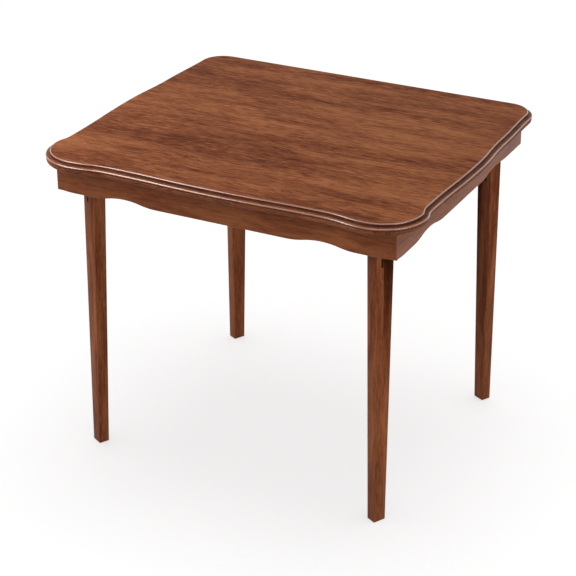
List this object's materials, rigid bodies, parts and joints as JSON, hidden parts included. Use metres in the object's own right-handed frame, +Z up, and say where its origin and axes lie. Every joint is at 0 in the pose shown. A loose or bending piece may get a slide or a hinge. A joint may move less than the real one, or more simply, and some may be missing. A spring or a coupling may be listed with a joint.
{
  "type": "folding card table",
  "caption": "Wooden card table with a moulded, scalloped board and apron, and tapered legs that fold under the board on hinge brackets with over-centre braces.",
  "frame": {"origin": "on the floor under the middle of the board", "axes": "+Z up, +X to the right along the front edge, +Y to the straight back edge"},
  "size_m": [0.871, 0.774, 0.7245],
  "materials": {
    "stained_wood": "satin",
    "plain_wood": "unfinished",
    "plated_steel": "zinc plated"
  },
  "bodies": {
    "table_frame": {"top_panel": "stained_wood", "apron_front": "stained_wood", "apron_right": "stained_wood", "apron_back": "stained_wood", "apron_left": "stained_wood", "hinge_bracket_front_right": "plated_steel", "hinge_pin_front_right": "plated_steel", "brace_lug_front_right": "plated_steel", "brace_lug_pin_front_right": "plated_steel", "corner_block_front_right": "plain_wood", "hinge_bracket_back_right": "plated_steel", "hinge_pin_back_right": "plated_steel", "brace_lug_back_right": "plated_steel", "brace_lug_pin_back_right": "plated_steel", "corner_block_back_right": "plain_wood", "hinge_bracket_back_left": "plated_steel", "hinge_pin_back_left": "plated_steel", "brace_lug_back_left": "plated_steel", "brace_lug_pin_back_left": "plated_steel", "corner_block_back_left": "plain_wood", "hinge_bracket_front_left": "plated_steel", "hinge_pin_front_left": "plated_steel", "brace_lug_front_left": "plated_steel", "brace_lug_pin_front_left": "plated_steel", "corner_block_front_left": "plain_wood", "apron_dowels": "plain_wood", "hinge_bracket_screws": "plated_steel", "brace_lug_screws": "plated_steel", "corner_block_screws": "plated_steel"},
    "folding_leg_front_right": {"leg_front_right": "stained_wood", "leg_brace_pin_front_right": "plated_steel", "pin_plug_front_right": "stained_wood"},
    "upper_brace_front_right": {"upper_brace_link_front_right": "plated_steel"},
    "lower_brace_front_right": {"lower_brace_link_front_right": "plated_steel", "knuckle_rivet_front_right": "plated_steel"},
    "folding_leg_back_right": {"leg_back_right": "stained_wood", "leg_brace_pin_back_right": "plated_steel", "pin_plug_back_right": "stained_wood"},
    "upper_brace_back_right": {"upper_brace_link_back_right": "plated_steel"},
    "lower_brace_back_right": {"lower_brace_link_back_right": "plated_steel", "knuckle_rivet_back_right": "plated_steel"},
    "folding_leg_back_left": {"leg_back_left": "stained_wood", "leg_brace_pin_back_left": "plated_steel", "pin_plug_back_left": "stained_wood"},
    "upper_brace_back_left": {"upper_brace_link_back_left": "plated_steel"},
    "lower_brace_back_left": {"lower_brace_link_back_left": "plated_steel", "knuckle_rivet_back_left": "plated_steel"},
    "folding_leg_front_left": {"leg_front_left": "stained_wood", "leg_brace_pin_front_left": "plated_steel", "pin_plug_front_left": "stained_wood"},
    "upper_brace_front_left": {"upper_brace_link_front_left": "plated_steel"},
    "lower_brace_front_left": {"lower_brace_link_front_left": "plated_steel", "knuckle_rivet_front_left": "plated_steel"}
  },
  "joints": [
    {"name": "leg_fold_front_right", "type": "hinge", "parent": "table_frame", "child": "folding_leg_front_right", "pos_m": [0.3355, -0.2861, 0.673], "axis": [0.4802, 0.8771, 0], "range_deg": [0, 92.8]},
    {"name": "upper_brace_fold_front_right", "type": "hinge", "parent": "table_frame", "child": "upper_brace_front_right", "pos_m": [0.30568, -0.26977, 0.697], "axis": [0.4802, 0.8771, 0], "range_deg": [0, 109.7]},
    {"name": "lower_brace_fold_front_right", "type": "hinge", "parent": "folding_leg_front_right", "child": "lower_brace_front_right", "pos_m": [0.33651, -0.28665, 0.60701], "axis": [0.4802, 0.8771, 0], "range_deg": [-130.8, 0]},
    {"name": "leg_fold_back_right", "type": "hinge", "parent": "table_frame", "child": "folding_leg_back_right", "pos_m": [0.3441, 0.2875, 0.673], "axis": [-0.8771, 0.4802, 0], "range_deg": [0, 88.6]},
    {"name": "upper_brace_fold_back_right", "type": "hinge", "parent": "table_frame", "child": "upper_brace_back_right", "pos_m": [0.32777, 0.25768, 0.697], "axis": [-0.8771, 0.4802, 0], "range_deg": [0, 105.7]},
    {"name": "lower_brace_fold_back_right", "type": "hinge", "parent": "folding_leg_back_right", "child": "lower_brace_back_right", "pos_m": [0.34465, 0.28851, 0.60701], "axis": [-0.8771, 0.4802, 0], "range_deg": [-125.5, 0]},
    {"name": "leg_fold_back_left", "type": "hinge", "parent": "table_frame", "child": "folding_leg_back_left", "pos_m": [-0.311, 0.2955, 0.673], "axis": [-0.4802, -0.8771, 0], "range_deg": [0, 92.8]},
    {"name": "upper_brace_fold_back_left", "type": "hinge", "parent": "table_frame", "child": "upper_brace_back_left", "pos_m": [-0.28118, 0.27917, 0.697], "axis": [-0.4802, -0.8771, 0], "range_deg": [0, 109.7]},
    {"name": "lower_brace_fold_back_left", "type": "hinge", "parent": "folding_leg_back_left", "child": "lower_brace_back_left", "pos_m": [-0.31201, 0.29605, 0.60701], "axis": [-0.4802, -0.8771, 0], "range_deg": [-130.8, 0]},
    {"name": "leg_fold_front_left", "type": "hinge", "parent": "table_frame", "child": "folding_leg_front_left", "pos_m": [-0.344, -0.277, 0.673], "axis": [0.8771, -0.4802, 0], "range_deg": [0, 88.6]},
    {"name": "upper_brace_fold_front_left", "type": "hinge", "parent": "table_frame", "child": "upper_brace_front_left", "pos_m": [-0.32767, -0.24718, 0.697], "axis": [0.8771, -0.4802, 0], "range_deg": [0, 105.7]},
    {"name": "lower_brace_fold_front_left", "type": "hinge", "parent": "folding_leg_front_left", "child": "lower_brace_front_left", "pos_m": [-0.34455, -0.27801, 0.60701], "axis": [0.8771, -0.4802, 0], "range_deg": [-125.5, 0]}
  ],
  "couplings": [
    {"joint": "upper_brace_fold_front_right", "follows": "leg_fold_front_right", "ratio": 1.1717},
    {"joint": "lower_brace_fold_front_right", "follows": "leg_fold_front_right", "ratio": -1.3983},
    {"joint": "upper_brace_fold_back_right", "follows": "leg_fold_back_right", "ratio": 1.182},
    {"joint": "lower_brace_fold_back_right", "follows": "leg_fold_back_right", "ratio": -1.4053},
    {"joint": "upper_brace_fold_back_left", "follows": "leg_fold_back_left", "ratio": 1.1717},
    {"joint": "lower_brace_fold_back_left", "follows": "leg_fold_back_left", "ratio": -1.3983},
    {"joint": "upper_brace_fold_front_left", "follows": "leg_fold_front_left", "ratio": 1.182},
    {"joint": "lower_brace_fold_front_left", "follows": "leg_fold_front_left", "ratio": -1.4053}
  ]
}
